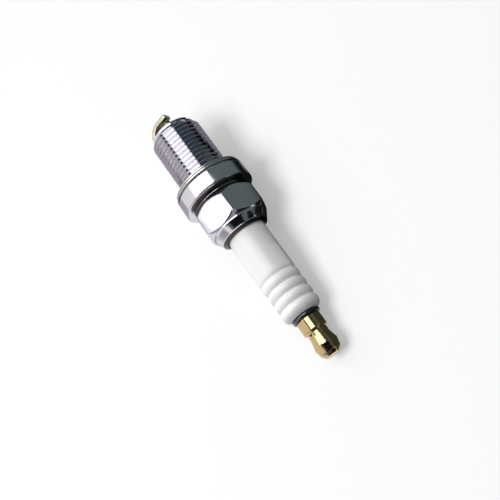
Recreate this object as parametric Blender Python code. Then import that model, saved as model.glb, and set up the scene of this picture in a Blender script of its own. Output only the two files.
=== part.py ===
"""Spark plug with a 14 mm thread, 19 mm reach, 16 mm hexagon and a screw-on terminal nut.

The plug lies along +X: the spark gap is at the -X end and the terminal nut at the +X end.
The origin is on the plug's axis, in the plane of the shell's seat face, and Z is up.
Every turned piece is an outline of (x, radius) points spun about the X axis.
A third number on an outline point is the fillet radius of that corner.
"""

import math

import bmesh
import bpy
from mathutils import Matrix, Vector

MM = 0.001

# Clearances between neighbours
FIT = 0.1 * MM
SLIP = 0.25 * MM
RUNNING = 0.3 * MM

# Shell, threaded end
REACH = 19.0 * MM
THREAD_RADIUS = 6.95 * MM
THREAD_DEPTH = 0.6 * MM
THREAD_PITCH = 1.25 * MM
THREAD_CREST = 0.3 * MM
RELIEF_LENGTH = 2.1 * MM
LEAD_CHAMFER = 0.95 * MM
RIM_LAND = 0.75 * MM
RIM_WALL = 1.3 * MM
NECK_WALL = 1.2 * MM

# Shell, seat flange, waist and hexagon
FLANGE_RADIUS = 9.75 * MM
FLANGE_LENGTH = 4.2 * MM
FLANGE_FILLET = 0.45 * MM
WAIST_LENGTH = 1.4 * MM
WAIST_WALL = 0.95 * MM
WAIST_BULGE = 0.25 * MM
HEX_ACROSS_FLATS = 16.0 * MM
HEX_LENGTH = 7.7 * MM
HEX_WALL = 1.35 * MM
HEX_CORNER_TRIM = 0.12 * MM
HEX_CHAMFER_LOW = 1.5 * MM
HEX_CHAMFER_HIGH = 1.1 * MM

# Shell, crimped lip and inner seat
CRIMP_LENGTH = 3.05 * MM
CRIMP_WALL = 1.0 * MM
CRIMP_STRAIGHT = 0.5 * MM
CRIMP_FILLET = 0.9 * MM
LIP_THICKNESS = 1.6 * MM
LIP_LAND = 0.75 * MM
LIP_END_WIDTH = 1.1 * MM
LIP_END_RISE = 0.65 * MM
LIP_FILLET = 0.25 * MM
CAVITY_DEPTH_IN_FLANGE = 0.6 * MM
CAVITY_TAPER = 1.1 * MM
SEAT_FROM_RIM = 11.4 * MM
SEAT_LEDGE_WIDTH = 0.9 * MM
SEAT_LEDGE_LENGTH = 2.2 * MM
SEAT_RISE = 0.7 * MM

# Gasket, folded from sheet
GASKET_THICKNESS = 1.75 * MM
GASKET_SHEET = 0.4 * MM
GASKET_PLAY = 0.4 * MM
GASKET_FROM_FLANGE_EDGE = 0.1 * MM
GASKET_FOLD = 0.6 * MM

# Insulator
HEIGHT = 53.0 * MM
PACKING_WIDTH = 1.5 * MM
LIP_GAP = 0.25 * MM
NOSE_OUT = 1.5 * MM
NOSE_TIP_RADIUS = 2.35 * MM
NOSE_TIP_FILLET = 0.4 * MM
NOSE_CLEARANCE = 0.4 * MM
SHOULDER_LENGTH = 3.2 * MM
SHOULDER_TAPER = 0.9 * MM
BORE_RADIUS = 2.0 * MM
RIB_COUNT = 3
RIB_PITCH = 2.65 * MM
RIB_DEPTH = 0.48 * MM
FIRST_GROOVE_DEPTH = 0.28 * MM
TOP_LAND_LENGTH = 3.2 * MM
TOP_FACE_RADIUS = 3.9 * MM
TOP_FILLET = 2.0 * MM

# Packing in the shell's cavity
PACKING_RING_THICKNESS = 0.5 * MM
WIRE_RADIUS = 0.55 * MM

# Electrodes
ELECTRODE_RADIUS = 1.25 * MM
ELECTRODE_OUT = 2.0 * MM
ELECTRODE_HEAD_LENGTH = 1.1 * MM
ELECTRODE_HEAD_ABOVE_SEAT = 1.6 * MM
ELECTRODE_BOSS_RADIUS = 1.1 * MM
ELECTRODE_BOSS_LENGTH = 0.7 * MM
CORE_WALL = 0.45 * MM
CORE_TIP_WALL = 3.0 * MM
SPARK_GAP = 0.85 * MM
GROUND_WIDTH = 2.5 * MM
GROUND_THICKNESS = 1.2 * MM
GROUND_BEND = 3.2 * MM
GROUND_PAST_CENTRE = 1.4 * MM
GROUND_EDGE = 0.2 * MM
GROUND_ANGLE = math.radians(-90)

# Seals and resistor in the insulator's bore
LOWER_SEAL_LENGTH = 3.2 * MM
RESISTOR_LENGTH = 9.0 * MM
UPPER_SEAL_LENGTH = 6.4 * MM
SEAL_POCKET_DEPTH = 4.0 * MM

# Terminal stud
COLLAR_RADIUS = 3.75 * MM
COLLAR_LENGTH = 0.9 * MM
COLLAR_FILLET = 0.35 * MM
STUD_SHANK_RADIUS = 1.75 * MM
STUD_END_RADIUS = 1.45 * MM
STUD_THREAD_RADIUS = 1.7 * MM
STUD_TIP_CHAMFER = 0.4 * MM

# Terminal nut
NUT_LENGTH = 10.5 * MM
NUT_BASE_RADIUS = 3.2 * MM
NUT_BASE_LENGTH = 3.35 * MM
NUT_EDGE = 0.2 * MM
NUT_STEP_LENGTH = 0.45 * MM
NUT_NECK_RADIUS = 2.6 * MM
NUT_NECK_LENGTH = 1.1 * MM
NUT_BULB_RADIUS = 3.175 * MM
NUT_BULB_FROM_END = 2.9 * MM
NUT_NOSE_RADIUS = 2.75 * MM
NUT_NOSE_FROM_END = 0.95 * MM
NUT_END_RADIUS = 1.9 * MM
NUT_CAP = 2.0 * MM
STAKE_COUNT = 3
STAKE_RADIUS = 0.45 * MM
STAKE_DEPTH = 0.28 * MM
STAKE_FIRST_ANGLE = math.radians(-16)

# Share of an outline's side that a fillet may take, beside another fillet or a plain corner
SHARED_SIDE = 0.48
FREE_SIDE = 0.96

# Facets
LARGE_STEPS = 36
SMALL_STEPS = 24
WIRE_STEPS = 6
FILLET_STEPS = 3
STAKE_STEPS = 8
RIB_STEPS = 4
SMOOTH_ANGLE = math.radians(30)

# Radii that follow from the walls
RELIEF_RADIUS = THREAD_RADIUS - THREAD_DEPTH
RIM_RADIUS = THREAD_RADIUS - LEAD_CHAMFER
RIM_BORE_RADIUS = RIM_RADIUS - RIM_WALL
BODY_BORE_RADIUS = RELIEF_RADIUS - NECK_WALL
LEDGE_RADIUS = BODY_BORE_RADIUS - SEAT_LEDGE_WIDTH
CAVITY_RADIUS = HEX_ACROSS_FLATS / 2 - HEX_WALL
WAIST_RADIUS = CAVITY_RADIUS + WAIST_WALL
CRIMP_RADIUS = CAVITY_RADIUS + CRIMP_WALL
HEX_CORNER_RADIUS = HEX_ACROSS_FLATS / 2 / math.cos(math.pi / 6)
BARREL_RADIUS = CAVITY_RADIUS - PACKING_WIDTH
LIP_RADIUS = BARREL_RADIUS + LIP_GAP
BODY_RADIUS = BODY_BORE_RADIUS - SLIP
NOSE_ROOT_RADIUS = LEDGE_RADIUS - NOSE_CLEARANCE
SHOULDER_RADIUS = CAVITY_RADIUS - SLIP
ELECTRODE_BORE_RADIUS = ELECTRODE_RADIUS + FIT
SEAL_RADIUS = BORE_RADIUS - FIT
NUT_BORE_RADIUS = STUD_THREAD_RADIUS + RUNNING

# Stations along the axis that follow from the lengths
RIM_X = -REACH
SEAT_X = RIM_X + SEAT_FROM_RIM
CAVITY_X = FLANGE_LENGTH - CAVITY_DEPTH_IN_FLANGE
HEX_X = FLANGE_LENGTH + WAIST_LENGTH
HEX_END_X = HEX_X + HEX_LENGTH
CRIMP_X = HEX_END_X + CRIMP_LENGTH
LIP_UNDER_X = CRIMP_X - LIP_THICKNESS
SHOULDER_X = CAVITY_X + CAVITY_TAPER + SLIP
SHOULDER_END_X = SHOULDER_X + SHOULDER_LENGTH
LOWER_WIRE_X = SHOULDER_END_X + SHOULDER_TAPER + FIT + WIRE_RADIUS
UPPER_WIRE_X = LIP_UNDER_X - LIP_LAND - FIT - WIRE_RADIUS
NUT_X = HEIGHT - NUT_LENGTH
COLLAR_END_X = NUT_X - FIT
COLLAR_X = COLLAR_END_X - COLLAR_LENGTH
INSULATOR_END_X = COLLAR_X - FIT
NOSE_TIP_X = RIM_X - NOSE_OUT
ELECTRODE_TIP_X = NOSE_TIP_X - ELECTRODE_OUT
ELECTRODE_HEAD_X = SEAT_X + ELECTRODE_HEAD_ABOVE_SEAT
ELECTRODE_HEAD_END_X = ELECTRODE_HEAD_X + ELECTRODE_HEAD_LENGTH
LOWER_SEAL_X = ELECTRODE_HEAD_END_X + FIT
LOWER_SEAL_END_X = LOWER_SEAL_X + LOWER_SEAL_LENGTH
RESISTOR_X = LOWER_SEAL_END_X + FIT
RESISTOR_END_X = RESISTOR_X + RESISTOR_LENGTH
UPPER_SEAL_X = RESISTOR_END_X + FIT
UPPER_SEAL_END_X = UPPER_SEAL_X + UPPER_SEAL_LENGTH
STUD_END_X = UPPER_SEAL_END_X - SEAL_POCKET_DEPTH + FIT
NUT_BORE_END = NUT_LENGTH - NUT_CAP


def seat_slope(radius, lift):
    """X of a line parallel to the shell's inner seat, raised by lift towards the terminal."""
    return SEAT_X + lift + SEAT_RISE * (radius - LEDGE_RADIUS) / SEAT_LEDGE_WIDTH


def rounded(outline):
    """The outline's points, with an arc in place of each corner that names a fillet radius."""
    points = []
    for index, (x, y, *fillet) in enumerate(outline):
        here = Vector((x, y))
        if not fillet:
            points.append(here)
            continue
        last_point = outline[index - 1]
        next_point = outline[(index + 1) % len(outline)]
        to_last = Vector(last_point[:2]) - here
        to_next = Vector(next_point[:2]) - here
        half = to_last.angle(to_next) / 2
        room_last = to_last.length * (SHARED_SIDE if len(last_point) > 2 else FREE_SIDE)
        room_next = to_next.length * (SHARED_SIDE if len(next_point) > 2 else FREE_SIDE)
        reach = min(fillet[0] / math.tan(half), room_last, room_next)
        radius = reach * math.tan(half)
        inward = (to_last.normalized() + to_next.normalized()).normalized()
        centre = here + inward * radius / math.sin(half)
        start = here + to_last.normalized() * reach - centre
        end = here + to_next.normalized() * reach - centre
        sweep = start.angle_signed(end)
        for step in range(FILLET_STEPS + 1):
            points.append(centre + Matrix.Rotation(-sweep * step / FILLET_STEPS, 2) @ start)
    return points


def material(name, colour, roughness, metallic):
    made = bpy.data.materials.new(name)
    made.use_nodes = True
    shader = made.node_tree.nodes["Principled BSDF"]
    shader.inputs["Base Color"].default_value = (*colour, 1)
    shader.inputs["Roughness"].default_value = roughness
    shader.inputs["Metallic"].default_value = metallic
    return made


def finished(name, bm, finish):
    """The bmesh as a named object, smooth where its facets stand for a round face."""
    bmesh.ops.remove_doubles(bm, verts=bm.verts, dist=0.001 * MM)
    bmesh.ops.recalc_face_normals(bm, faces=bm.faces)
    mesh = bpy.data.meshes.new(name)
    bm.to_mesh(mesh)
    bm.free()
    mesh.shade_smooth()
    mesh.set_sharp_from_angle(angle=SMOOTH_ANGLE)
    if finish:
        mesh.materials.append(finish)
    made = bpy.data.objects.new(name, mesh)
    bpy.context.scene.collection.objects.link(made)
    return made


def spin_outline(bm, outline, steps, closed=False, lead=0.0):
    """Spins the outline once about X: as a ring or, with a lead, as one turn of a right-hand helix."""
    verts = [bm.verts.new((x, 0, radius)) for x, radius in rounded(outline)]
    edges = [bm.edges.new(pair) for pair in zip(verts, verts[1:])]
    if closed:
        edges.append(bm.edges.new((verts[-1], verts[0])))
    bmesh.ops.spin(
        bm,
        geom=verts + edges,
        cent=(0, 0, 0),
        axis=(1, 0, 0),
        dvec=(lead / steps, 0, 0),
        angle=math.tau,
        steps=steps,
        use_merge=not lead,
    )


def turned(name, outline, finish, steps):
    """A piece spun about X from an outline that is closed, or that starts and ends on the axis."""
    bm = bmesh.new()
    spin_outline(bm, outline, steps, closed=outline[0][1] > 0 or outline[-1][1] > 0)
    return finished(name, bm, finish)


def cut(piece, cutter):
    """Takes the cutter, which is then only a guide, out of the piece."""
    cutter.hide_render = True
    cutter.display_type = "WIRE"
    modifier = piece.modifiers.new(cutter.name, "BOOLEAN")
    modifier.operation = "DIFFERENCE"
    modifier.solver = "EXACT"
    modifier.object = cutter


def thread_limit(x):
    """The largest radius at x: the lead chamfer behind the rim and the run-out into the relief neck."""
    lead = max(RIM_RADIUS, RIM_RADIUS + x - RIM_X - RIM_LAND)
    run_out = max(RELIEF_RADIUS, RELIEF_RADIUS - RELIEF_LENGTH - x)
    return min(lead, run_out)


def add_thread(bm, low, high):
    """The shell's thread on an empty bmesh: one turn, repeated, and trimmed by thread_limit.

    Points past its two ends fall together on a ring there, where the turned outline joins it.
    """
    flank = (THREAD_PITCH - THREAD_CREST) / 2
    profile = [
        (low - THREAD_PITCH, RELIEF_RADIUS),
        (low - THREAD_PITCH + flank, THREAD_RADIUS),
        (low - flank, THREAD_RADIUS),
        (low, RELIEF_RADIUS),
    ]
    spin_outline(bm, profile, LARGE_STEPS, lead=THREAD_PITCH)
    first_turn = bm.verts[:] + bm.edges[:] + bm.faces[:]
    for turn in range(1, math.ceil((high - low) / THREAD_PITCH) + 1):
        copied = bmesh.ops.duplicate(bm, geom=first_turn)["geom"]
        moved = [item for item in copied if isinstance(item, bmesh.types.BMVert)]
        bmesh.ops.translate(bm, verts=moved, vec=(turn * THREAD_PITCH, 0, 0))
    step = math.tau / LARGE_STEPS
    for vert in bm.verts:
        x = vert.co.x
        x = low if x < low + FIT else x
        x = high if x > high - FIT else x
        radius = min(vert.co.yz.length, thread_limit(x))
        angle = round(math.atan2(vert.co.y, vert.co.z) / step) * step
        vert.co = (x, radius * math.sin(angle), radius * math.cos(angle))
    bmesh.ops.remove_doubles(bm, verts=bm.verts, dist=0.001 * MM)


def make_shell(finish):
    chamfer_radius = (HEX_ACROSS_FLATS / 2 + WAIST_RADIUS) / 2
    corner_radius = HEX_CORNER_RADIUS - HEX_CORNER_TRIM
    waist_middle = FLANGE_LENGTH + WAIST_LENGTH / 2
    outside = [
        (-RELIEF_LENGTH, RELIEF_RADIUS),
        (0, RELIEF_RADIUS),
        (0, FLANGE_RADIUS, FLANGE_FILLET),
        (FLANGE_LENGTH, FLANGE_RADIUS, FLANGE_FILLET),
        (FLANGE_LENGTH, WAIST_RADIUS),
        (waist_middle, WAIST_RADIUS + WAIST_BULGE),
        (HEX_X, WAIST_RADIUS),
        (HEX_X, chamfer_radius),
        (HEX_X + HEX_CHAMFER_LOW, corner_radius),
        (HEX_END_X - HEX_CHAMFER_HIGH, corner_radius),
        (HEX_END_X, chamfer_radius),
        (HEX_END_X, CRIMP_RADIUS),
        (HEX_END_X + CRIMP_STRAIGHT, CRIMP_RADIUS, CRIMP_FILLET),
        (CRIMP_X - LIP_END_RISE, LIP_RADIUS + LIP_END_WIDTH, LIP_FILLET),
        (CRIMP_X, LIP_RADIUS),
    ]
    inside = [
        (LIP_UNDER_X, LIP_RADIUS),
        (LIP_UNDER_X - LIP_LAND, CAVITY_RADIUS),
        (CAVITY_X + CAVITY_TAPER, CAVITY_RADIUS),
        (CAVITY_X, BODY_BORE_RADIUS),
        (SEAT_X + SEAT_RISE, BODY_BORE_RADIUS),
        (SEAT_X, LEDGE_RADIUS),
        (SEAT_X - SEAT_LEDGE_LENGTH, LEDGE_RADIUS),
        (SEAT_X - SEAT_LEDGE_LENGTH - SEAT_RISE, RIM_BORE_RADIUS),
        (RIM_X, RIM_BORE_RADIUS),
        (RIM_X, RIM_RADIUS),
        (RIM_X + RIM_LAND, RIM_RADIUS),
    ]
    bm = bmesh.new()
    add_thread(bm, RIM_X + RIM_LAND, -RELIEF_LENGTH)
    spin_outline(bm, outside + inside, LARGE_STEPS)
    shell = finished("shell", bm, finish)
    # A six-sided ring that leaves the hexagon's flats, wider than the corners and clear of the flange
    middle = HEX_X - WAIST_LENGTH / 2
    ring = [
        (middle, HEX_CORNER_RADIUS),
        (middle, 2 * HEX_CORNER_RADIUS),
        (HEX_END_X + CRIMP_STRAIGHT, 2 * HEX_CORNER_RADIUS),
        (HEX_END_X + CRIMP_STRAIGHT, HEX_CORNER_RADIUS),
    ]
    flats = turned("hexagon_flats", ring, None, 6)
    flats.rotation_euler.x = math.pi / 6
    cut(shell, flats)


def make_gasket(finish):
    """A sheet steel ring folded to a channel that opens towards the thread, free to turn.

    Its bore is smaller than the thread, which keeps it on, and its flat face starts outside the thread.
    """
    inner = RELIEF_RADIUS + GASKET_PLAY
    outer = FLANGE_RADIUS - GASKET_FROM_FLANGE_EDGE
    outline = [
        (-GASKET_THICKNESS + GASKET_SHEET / 2, inner),
        (-GASKET_THICKNESS, THREAD_RADIUS + SLIP),
        (-GASKET_THICKNESS, outer, GASKET_FOLD),
        (-FIT, outer, GASKET_FOLD),
        (-FIT, inner),
        (-FIT - GASKET_SHEET, inner),
        (-FIT - GASKET_SHEET, outer - GASKET_SHEET, GASKET_FOLD - GASKET_SHEET),
        (-GASKET_THICKNESS + GASKET_SHEET, outer - GASKET_SHEET, GASKET_FOLD - GASKET_SHEET),
        (-GASKET_THICKNESS + GASKET_SHEET, inner),
    ]
    turned("gasket", outline, finish, LARGE_STEPS)


def rib_outline():
    """Convex ribs that meet in narrow grooves, from the plain barrel up to the last groove."""
    last_groove = INSULATOR_END_X - TOP_LAND_LENGTH
    first_groove = last_groove - RIB_COUNT * RIB_PITCH
    points = [
        (first_groove - RIB_PITCH / 2, BARREL_RADIUS),
        (first_groove - RIB_PITCH / 4, BARREL_RADIUS - FIRST_GROOVE_DEPTH / 4),
        (first_groove, BARREL_RADIUS - FIRST_GROOVE_DEPTH),
    ]
    for rib in range(RIB_COUNT):
        low = FIRST_GROOVE_DEPTH if rib == 0 else RIB_DEPTH
        for step in range(1, RIB_STEPS + 1):
            share = step / RIB_STEPS
            from_crest = (2 * share - 1) ** 2
            depth = (low if share < 0.5 else RIB_DEPTH) * from_crest
            points.append((first_groove + (rib + share) * RIB_PITCH, BARREL_RADIUS - depth))
    points.append((last_groove + RIB_PITCH / 4, BARREL_RADIUS - RIB_DEPTH / 4))
    points.append((last_groove + RIB_PITCH / 2, BARREL_RADIUS))
    return points


def make_insulator(finish):
    lift = PACKING_RING_THICKNESS + 2 * FIT
    head_seat = BORE_RADIUS - ELECTRODE_BORE_RADIUS
    outline = [
        (NOSE_TIP_X, ELECTRODE_BORE_RADIUS),
        (NOSE_TIP_X, NOSE_TIP_RADIUS, NOSE_TIP_FILLET),
        (seat_slope(NOSE_ROOT_RADIUS, lift), NOSE_ROOT_RADIUS),
        (seat_slope(BODY_RADIUS, lift), BODY_RADIUS),
        (CAVITY_X + SLIP, BODY_RADIUS),
        (SHOULDER_X, SHOULDER_RADIUS),
        (SHOULDER_END_X, SHOULDER_RADIUS),
        (SHOULDER_END_X + SHOULDER_TAPER, BARREL_RADIUS),
        *rib_outline(),
        (INSULATOR_END_X - TOP_FILLET / 2, BARREL_RADIUS, TOP_FILLET),
        (INSULATOR_END_X, TOP_FACE_RADIUS, TOP_FILLET / 8),
        (INSULATOR_END_X, BORE_RADIUS),
        (ELECTRODE_HEAD_X - FIT, BORE_RADIUS),
        (ELECTRODE_HEAD_X - FIT - head_seat, ELECTRODE_BORE_RADIUS),
    ]
    turned("insulator", outline, finish, LARGE_STEPS)


def make_packing_ring(finish):
    """The conical washer that seals the insulator on the shell's inner seat."""
    inner = LEDGE_RADIUS + FIT
    outer = BODY_BORE_RADIUS - FIT
    outline = [
        (seat_slope(inner, FIT), inner),
        (seat_slope(outer, FIT), outer),
        (seat_slope(outer, FIT + PACKING_RING_THICKNESS), outer),
        (seat_slope(inner, FIT + PACKING_RING_THICKNESS), inner),
    ]
    turned("inner_packing_ring", outline, finish, LARGE_STEPS)


def make_wire_ring(name, x, finish):
    middle = (CAVITY_RADIUS + BARREL_RADIUS) / 2
    outline = []
    for step in range(WIRE_STEPS):
        angle = math.tau * step / WIRE_STEPS
        outline.append((x + WIRE_RADIUS * math.cos(angle), middle + WIRE_RADIUS * math.sin(angle)))
    turned(name, outline, finish, LARGE_STEPS)


def make_talc(finish):
    low = LOWER_WIRE_X + WIRE_RADIUS + FIT
    high = UPPER_WIRE_X - WIRE_RADIUS - FIT
    inner = BARREL_RADIUS + FIT
    outer = CAVITY_RADIUS - FIT
    outline = [(low, inner), (low, outer), (high, outer), (high, inner)]
    turned("talc_filling", outline, finish, LARGE_STEPS)


def make_centre_electrode(finish):
    """A nickel sheath, headed to sit in the insulator, with a blind bore for its copper core."""
    head_radius = BORE_RADIUS - SLIP
    head_cone = head_radius - ELECTRODE_RADIUS
    core_bore = ELECTRODE_RADIUS - CORE_WALL
    boss_end = ELECTRODE_HEAD_END_X + ELECTRODE_BOSS_LENGTH
    outline = [
        (ELECTRODE_TIP_X, 0),
        (ELECTRODE_TIP_X, ELECTRODE_RADIUS, FIT),
        (ELECTRODE_HEAD_X - head_cone, ELECTRODE_RADIUS),
        (ELECTRODE_HEAD_X, head_radius),
        (ELECTRODE_HEAD_END_X, head_radius),
        (ELECTRODE_HEAD_END_X, ELECTRODE_BOSS_RADIUS),
        (boss_end, ELECTRODE_BOSS_RADIUS),
        (boss_end, core_bore),
        (ELECTRODE_TIP_X + CORE_TIP_WALL, core_bore),
        (ELECTRODE_TIP_X + CORE_TIP_WALL, 0),
    ]
    turned("centre_electrode", outline, finish, SMALL_STEPS)


def make_copper_core(finish):
    radius = ELECTRODE_RADIUS - CORE_WALL - FIT
    low = ELECTRODE_TIP_X + CORE_TIP_WALL + FIT
    high = ELECTRODE_HEAD_END_X + ELECTRODE_BOSS_LENGTH
    outline = [(low, 0), (low, radius, radius / 2), (high, radius), (high, 0)]
    turned("copper_core", outline, finish, SMALL_STEPS)


def make_ground_electrode(finish):
    """The strap welded on the shell's rim and bent over the centre electrode."""
    outer = (RIM_RADIUS + RIM_BORE_RADIUS + GROUND_THICKNESS) / 2
    inner = outer - GROUND_THICKNESS
    foot = RIM_X - FIT
    under = ELECTRODE_TIP_X - SPARK_GAP
    top = under - GROUND_THICKNESS
    outline = [
        (foot, outer),
        (top, outer, GROUND_BEND + GROUND_THICKNESS),
        (top, -GROUND_PAST_CENTRE),
        (under, -GROUND_PAST_CENTRE),
        (under, inner, GROUND_BEND),
        (foot, inner),
    ]
    bm = bmesh.new()
    side = bm.faces.new([bm.verts.new((x, -GROUND_WIDTH / 2, z)) for x, z in rounded(outline)])
    swept = bmesh.ops.extrude_face_region(bm, geom=[side])["geom"]
    moved = [item for item in swept if isinstance(item, bmesh.types.BMVert)]
    bmesh.ops.translate(bm, verts=moved, vec=(0, GROUND_WIDTH, 0))
    strap = finished("ground_electrode", bm, finish)
    edges = strap.modifiers.new("strap_edges", "BEVEL")
    edges.width = GROUND_EDGE
    edges.segments = 1
    edges.limit_method = "ANGLE"
    edges.angle_limit = math.radians(60)
    # Angles about the axis run from +Z towards +Y
    strap.rotation_euler.x = -GROUND_ANGLE


def make_lower_seal(finish):
    pocket_radius = ELECTRODE_BOSS_RADIUS + FIT
    pocket_end = ELECTRODE_HEAD_END_X + ELECTRODE_BOSS_LENGTH + FIT
    outline = [
        (pocket_end, 0),
        (pocket_end, pocket_radius),
        (LOWER_SEAL_X, pocket_radius),
        (LOWER_SEAL_X, SEAL_RADIUS),
        (LOWER_SEAL_END_X, SEAL_RADIUS),
        (LOWER_SEAL_END_X, 0),
    ]
    turned("lower_glass_seal", outline, finish, SMALL_STEPS)


def make_resistor(finish):
    outline = [(RESISTOR_X, 0), (RESISTOR_X, SEAL_RADIUS), (RESISTOR_END_X, SEAL_RADIUS), (RESISTOR_END_X, 0)]
    turned("resistor", outline, finish, SMALL_STEPS)


def make_upper_seal(finish):
    pocket_radius = STUD_END_RADIUS + FIT
    outline = [
        (UPPER_SEAL_X, 0),
        (UPPER_SEAL_X, SEAL_RADIUS),
        (UPPER_SEAL_END_X, SEAL_RADIUS),
        (UPPER_SEAL_END_X, pocket_radius),
        (STUD_END_X - FIT, pocket_radius),
        (STUD_END_X - FIT, 0),
    ]
    turned("upper_glass_seal", outline, finish, SMALL_STEPS)


def make_terminal_stud(finish):
    """One long pin: its lower end is fused in the upper seal, its collar sits on the insulator."""
    thread_end = NUT_X + NUT_BORE_END - RUNNING
    outline = [
        (STUD_END_X, 0),
        (STUD_END_X, STUD_END_RADIUS),
        (UPPER_SEAL_END_X + FIT, STUD_END_RADIUS),
        (UPPER_SEAL_END_X + FIT, STUD_SHANK_RADIUS),
        (COLLAR_X, STUD_SHANK_RADIUS),
        (COLLAR_X, COLLAR_RADIUS, COLLAR_FILLET),
        (COLLAR_END_X, COLLAR_RADIUS, COLLAR_FILLET),
        (COLLAR_END_X, STUD_THREAD_RADIUS),
        (thread_end - STUD_TIP_CHAMFER, STUD_THREAD_RADIUS),
        (thread_end, STUD_THREAD_RADIUS - STUD_TIP_CHAMFER),
        (thread_end, 0),
    ]
    turned("terminal_stud", outline, finish, SMALL_STEPS)


def make_terminal_nut(finish):
    """The snap terminal, with its origin on the axis where it seats on the stud's collar."""
    neck_start = NUT_BASE_LENGTH + NUT_STEP_LENGTH
    bulb = NUT_LENGTH - NUT_BULB_FROM_END
    flare = (neck_start + NUT_NECK_LENGTH + bulb) / 2
    outline = [
        (0, NUT_BORE_RADIUS),
        (0, NUT_BASE_RADIUS, NUT_EDGE),
        (NUT_BASE_LENGTH, NUT_BASE_RADIUS, NUT_EDGE),
        (neck_start, NUT_NECK_RADIUS),
        (neck_start + NUT_NECK_LENGTH, NUT_NECK_RADIUS),
        (flare, (NUT_NECK_RADIUS + NUT_BULB_RADIUS) / 2),
        (bulb - NUT_EDGE, NUT_BULB_RADIUS),
        (bulb, NUT_BULB_RADIUS),
        (NUT_LENGTH - NUT_NOSE_FROM_END, NUT_NOSE_RADIUS, NUT_NOSE_FROM_END),
        (NUT_LENGTH, NUT_END_RADIUS),
        (NUT_LENGTH, 0),
        (NUT_BORE_END + NUT_BORE_RADIUS / 2, 0),
        (NUT_BORE_END, NUT_BORE_RADIUS),
    ]
    nut = turned("terminal_nut", outline, finish, SMALL_STEPS)
    nut.location.x = NUT_X
    # Round stakes pressed into the neck
    for stake in range(STAKE_COUNT):
        bm = bmesh.new()
        bmesh.ops.create_cone(
            bm,
            cap_ends=True,
            segments=STAKE_STEPS,
            radius1=STAKE_RADIUS / 3,
            radius2=STAKE_RADIUS,
            depth=STAKE_DEPTH,
        )
        face = max(bm.faces, key=lambda f: f.calc_center_median().z)
        outside = bmesh.ops.extrude_face_region(bm, geom=[face])["geom"]
        moved = [item for item in outside if isinstance(item, bmesh.types.BMVert)]
        bmesh.ops.translate(bm, verts=moved, vec=(0, 0, NUT_NECK_RADIUS))
        bmesh.ops.delete(bm, geom=[face], context="FACES_ONLY")
        lift = NUT_NECK_RADIUS - STAKE_DEPTH / 2
        bmesh.ops.translate(bm, verts=bm.verts, vec=(neck_start + NUT_NECK_LENGTH / 2, 0, lift))
        punch = finished(f"stake_{stake + 1}", bm, None)
        punch.parent = nut
        punch.rotation_euler.x = -(STAKE_FIRST_ANGLE + math.tau * stake / STAKE_COUNT)
        cut(nut, punch)


def main():
    for old in list(bpy.data.objects):
        bpy.data.objects.remove(old)
    plated = material("nickel_plated_steel", (0.72, 0.72, 0.74), 0.22, 1)
    folded = material("plated_sheet_steel", (0.62, 0.62, 0.6), 0.35, 1)
    glaze = material("glazed_alumina", (0.88, 0.88, 0.86), 0.12, 0)
    nickel = material("nickel_alloy", (0.72, 0.68, 0.58), 0.35, 1)
    steel = material("soft_steel", (0.45, 0.45, 0.47), 0.4, 1)
    copper = material("copper", (0.72, 0.38, 0.24), 0.35, 1)
    talc = material("pressed_talc", (0.75, 0.74, 0.7), 0.9, 0)
    seal_glass = material("copper_glass", (0.28, 0.2, 0.17), 0.6, 0)
    carbon_glass = material("resistor_glass", (0.1, 0.1, 0.11), 0.7, 0)
    dark_steel = material("dark_steel", (0.25, 0.25, 0.27), 0.3, 1)
    brass = material("turned_brass", (0.72, 0.56, 0.22), 0.2, 1)
    make_shell(plated)
    make_ground_electrode(nickel)
    make_gasket(folded)
    make_insulator(glaze)
    make_packing_ring(steel)
    make_wire_ring("lower_wire_ring", LOWER_WIRE_X, steel)
    make_talc(talc)
    make_wire_ring("upper_wire_ring", UPPER_WIRE_X, steel)
    make_centre_electrode(nickel)
    make_copper_core(copper)
    make_lower_seal(seal_glass)
    make_resistor(carbon_glass)
    make_upper_seal(seal_glass)
    make_terminal_stud(dark_steel)
    make_terminal_nut(brass)


main()
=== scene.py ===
"""Looks of a spark plug on a white table: plated steel shell, white glaze, nickel strap and brass terminal.

The visible pieces are turned, threaded, cut and bent at full detail, in the place of the frame's solids.
The plug lies along X, with its seat face at zero, its spark gap towards -X and its terminal towards +X.
Angles about that axis run from +Z towards +Y.
"""

import math

import bmesh
import bpy
from mathutils import Matrix, Vector


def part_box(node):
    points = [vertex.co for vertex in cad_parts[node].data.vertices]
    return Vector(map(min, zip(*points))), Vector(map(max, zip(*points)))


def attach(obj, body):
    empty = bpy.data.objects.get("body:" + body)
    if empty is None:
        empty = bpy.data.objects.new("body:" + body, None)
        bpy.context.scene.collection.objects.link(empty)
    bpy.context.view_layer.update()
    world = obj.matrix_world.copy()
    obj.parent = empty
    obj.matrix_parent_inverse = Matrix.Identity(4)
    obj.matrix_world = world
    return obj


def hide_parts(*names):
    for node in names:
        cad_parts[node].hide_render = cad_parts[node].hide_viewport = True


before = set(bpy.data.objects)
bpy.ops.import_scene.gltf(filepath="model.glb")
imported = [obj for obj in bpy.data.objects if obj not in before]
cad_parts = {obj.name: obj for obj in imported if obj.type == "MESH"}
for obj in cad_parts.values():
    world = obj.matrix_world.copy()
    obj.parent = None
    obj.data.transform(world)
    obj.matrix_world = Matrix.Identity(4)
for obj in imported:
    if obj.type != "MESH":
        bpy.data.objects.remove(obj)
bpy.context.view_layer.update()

MM = 0.001

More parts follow.
